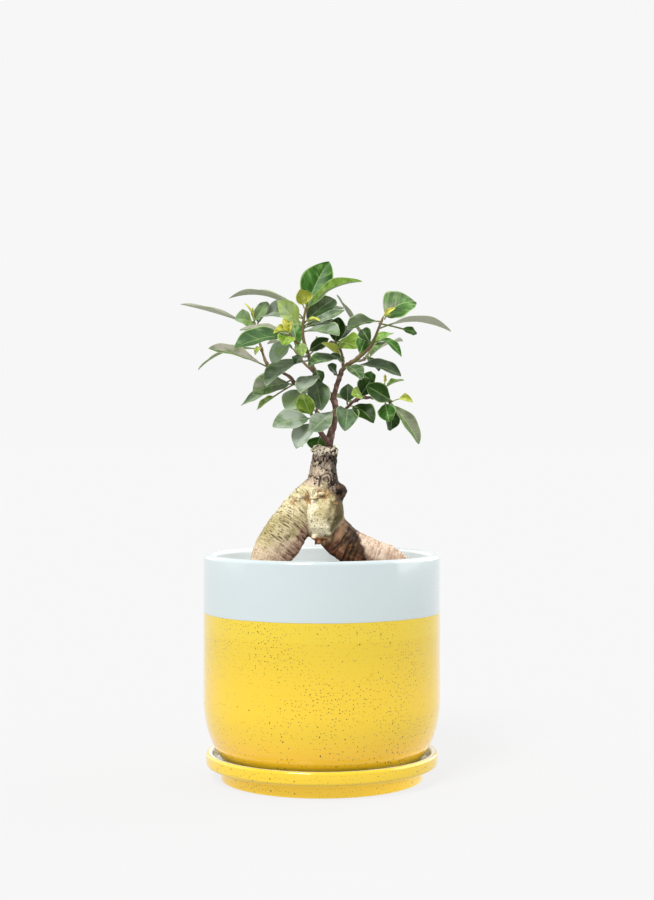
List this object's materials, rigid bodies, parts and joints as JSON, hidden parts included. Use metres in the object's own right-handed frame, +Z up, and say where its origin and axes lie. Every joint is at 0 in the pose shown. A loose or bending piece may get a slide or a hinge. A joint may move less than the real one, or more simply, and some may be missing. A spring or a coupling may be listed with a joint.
{
  "type": "potted bonsai tree",
  "caption": "Grafted ficus bonsai with a swollen forked rootstock and glossy leaves, in a round two-tone glazed planter on a matching saucer.",
  "frame": {"origin": "centre of the saucer's flat underside, on the surface that the object stands on", "axes": "+Z up along the planter's axis; the front, the side that the picture shows, faces -Y; +X is to the viewer's right"},
  "size_m": [0.1894, 0.165, 0.3624],
  "materials": {
    "pot_glaze": "gloss",
    "saucer_glaze": "gloss",
    "potting_mix": "matte",
    "root_bark": "matte",
    "stem_bark": "matte",
    "leaf_old": "satin",
    "leaf_mature": "satin",
    "leaf_young": "satin"
  },
  "bodies": {
    "root": {"pot": "pot_glaze", "saucer": "saucer_glaze", "soil": "potting_mix", "rootstock": "root_bark", "stems": "stem_bark", "crown_leaf_1": "leaf_mature", "crown_leaf_2": "leaf_mature", "crown_leaf_3": "leaf_young", "crown_leaf_4": "leaf_old", "crown_leaf_5": "leaf_mature", "crown_leaf_6": "leaf_old", "crown_leaf_7": "leaf_old", "crown_leaf_8": "leaf_old", "crown_leaf_9": "leaf_old", "crown_leaf_10": "leaf_old", "crown_leaf_11": "leaf_old", "crown_leaf_12": "leaf_old", "middle_leaf_1": "leaf_mature", "middle_leaf_2": "leaf_old", "middle_leaf_3": "leaf_young", "middle_leaf_4": "leaf_mature", "left_leaf_1": "leaf_old", "left_leaf_2": "leaf_mature", "left_leaf_3": "leaf_old", "left_leaf_4": "leaf_old", "left_leaf_5": "leaf_mature", "left_leaf_6": "leaf_old", "left_leaf_7": "leaf_old", "left_leaf_8": "leaf_mature", "lower_left_leaf_1": "leaf_young", "lower_left_leaf_2": "leaf_old", "lower_left_leaf_3": "leaf_old", "lower_left_leaf_4": "leaf_old", "stem_leaf_1": "leaf_old", "back_leaf_1": "leaf_mature", "back_leaf_2": "leaf_mature", "inner_leaf_1": "leaf_young", "inner_leaf_2": "leaf_old", "inner_leaf_3": "leaf_old", "inner_leaf_4": "leaf_old", "right_leaf_1": "leaf_old", "right_leaf_2": "leaf_mature", "right_leaf_3": "leaf_old", "right_leaf_4": "leaf_mature", "right_leaf_5": "leaf_mature", "right_leaf_6": "leaf_old", "right_leaf_7": "leaf_old", "back_right_leaf_1": "leaf_old", "back_right_leaf_2": "leaf_old", "back_left_leaf_1": "leaf_mature", "lower_right_leaf_1": "leaf_mature", "lower_right_leaf_2": "leaf_old", "lower_right_leaf_3": "leaf_young", "lower_right_leaf_4": "leaf_mature", "lower_right_leaf_5": "leaf_mature", "lower_right_leaf_6": "leaf_mature", "lower_right_leaf_7": "leaf_old", "lower_right_leaf_8": "leaf_old", "side_leaf_1": "leaf_mature", "side_leaf_2": "leaf_mature"}
  },
  "joints": []
}
